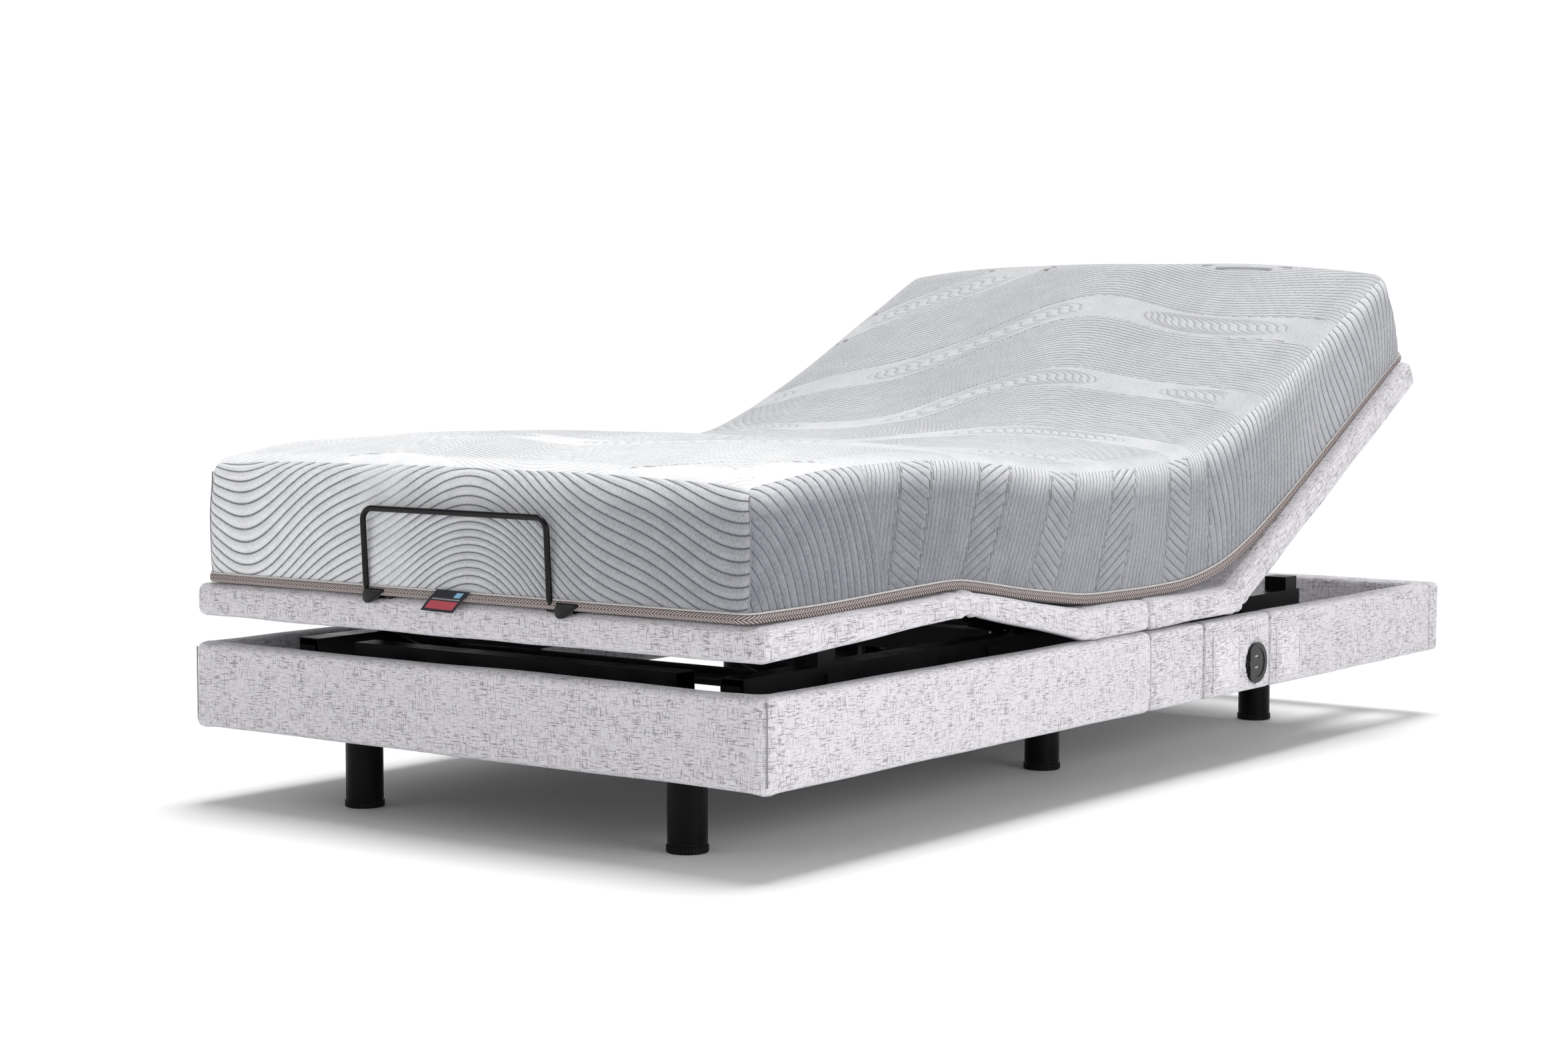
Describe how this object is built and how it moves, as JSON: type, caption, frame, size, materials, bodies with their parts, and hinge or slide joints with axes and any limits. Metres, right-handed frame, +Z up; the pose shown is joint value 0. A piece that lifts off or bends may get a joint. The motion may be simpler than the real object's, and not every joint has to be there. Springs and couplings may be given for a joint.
{
  "type": "adjustable bed base",
  "caption": "Upholstered adjustable bed base on round legs with raised back, thigh and foot sections, lift motors, side USB modules, foot retainer and quilted mattress.",
  "frame": {"origin": "on the floor, under the middle of the rails", "axes": "+Z up, +Y towards the head end, +X to the right seen from the foot end"},
  "size_m": [1.067, 2.0147, 0.7933],
  "materials": {
    "rail_fabric": "light grey melange linen weave",
    "deck_fabric": "light grey melange linen weave",
    "patch_fabric": "light grey melange linen weave, stitched edge",
    "mattress_knit": "quilted heathered knit",
    "retainer_steel": "black satin",
    "plywood": "plain plywood",
    "leg_steel": "black satin powder coat",
    "glide_plastic": "black knurled",
    "zinc_steel": "zinc plated",
    "socket_plastic": "black, fine moulded",
    "motor_plastic": "dark grey moulded",
    "rod_aluminium": "turned",
    "box_plastic": "black moulded",
    "support_steel": "black satin",
    "frame_steel": "black satin powder coat"
  },
  "bodies": {
    "base": {"control_box": "box_plastic", "deck_supports": "support_steel", "foot_cross_tube": "frame_steel", "foot_motor": "motor_plastic", "foot_side_beam_left": "frame_steel", "foot_side_beam_right": "frame_steel", "frame_bolts": "zinc_steel", "front_motor_tube": "frame_steel", "head_cross_frame": "frame_steel", "head_motor": "motor_plastic", "head_side_beam_left": "frame_steel", "head_side_beam_right": "frame_steel", "hinge_pins": "zinc_steel", "hinge_plates": "frame_steel", "leg_bolts": "zinc_steel", "leg_foot_left": "leg_steel", "leg_foot_right": "leg_steel", "leg_glides": "glide_plastic", "leg_head_left": "leg_steel", "leg_head_right": "leg_steel", "leg_middle_left": "leg_steel", "leg_middle_right": "leg_steel", "mattress_seat": "mattress_knit", "middle_leg_brackets": "frame_steel", "power_supply": "box_plastic", "rail_boards": "plywood", "rail_brackets": "frame_steel", "rail_cover_foot": "rail_fabric", "rail_cover_foot_left": "rail_fabric", "rail_cover_foot_right": "rail_fabric", "rail_cover_head": "rail_fabric", "rail_cover_head_left": "rail_fabric", "rail_cover_head_right": "rail_fabric", "rail_cover_middle_left": "rail_fabric", "rail_cover_middle_right": "rail_fabric", "rail_cover_socket_left": "rail_fabric", "rail_cover_socket_right": "rail_fabric", "rear_motor_tube": "frame_steel", "seat_boards": "plywood", "seat_covers": "deck_fabric", "side_patches": "patch_fabric", "splice_plates": "frame_steel", "usb_modules": "socket_plastic"},
    "back_section": {"back_board": "plywood", "back_frame": "frame_steel", "back_cover": "deck_fabric", "mattress_back": "mattress_knit"},
    "thigh_section": {"thigh_board": "plywood", "thigh_frame": "frame_steel", "thigh_cover": "deck_fabric", "mattress_thigh": "mattress_knit", "knee_pins": "zinc_steel"},
    "foot_section": {"foot_board": "plywood", "foot_frame": "frame_steel", "foot_cover": "deck_fabric", "mattress_foot": "mattress_knit", "mattress_retainer": "retainer_steel"},
    "support_links": {"foot_support_links": "frame_steel"},
    "head_rod": {"head_motor_rod": "rod_aluminium"},
    "foot_rod": {"foot_motor_rod": "rod_aluminium"}
  },
  "joints": [
    {"name": "back_hinge", "type": "hinge", "parent": "base", "child": "back_section", "pos_m": [0, 0.252, 0.24], "axis": [1, 0, 0], "range_deg": [-28.7, 33.3]},
    {"name": "thigh_hinge", "type": "hinge", "parent": "base", "child": "thigh_section", "pos_m": [0, -0.208, 0.24], "axis": [-1, 0, 0], "range_deg": [-11.2, 20.8]},
    {"name": "knee_hinge", "type": "hinge", "parent": "thigh_section", "child": "foot_section", "pos_m": [0, -0.52567, 0.31921], "axis": [1, 0, 0], "range_deg": [-14.35, 26.6]},
    {"name": "link_hinge", "type": "hinge", "parent": "base", "child": "support_links", "pos_m": [0, -0.6556, 0.205], "axis": [-1, 0, 0], "range_deg": [-13.1, 24.2]},
    {"name": "head_rod_slide", "type": "slide", "parent": "base", "child": "head_rod", "axis": [0, 1, 0], "range_m": [-0.049, 0.0568]},
    {"name": "foot_rod_slide", "type": "slide", "parent": "base", "child": "foot_rod", "axis": [0, -1, 0], "range_m": [-0.018, 0.0334]}
  ],
  "couplings": [
    {"joint": "knee_hinge", "follows": "thigh_hinge", "ratio": 1.277},
    {"joint": "link_hinge", "follows": "thigh_hinge", "ratio": 1.16},
    {"joint": "head_rod_slide", "follows": "back_hinge", "m_per_rad": 0.0976},
    {"joint": "foot_rod_slide", "follows": "thigh_hinge", "m_per_rad": 0.0918}
  ]
}
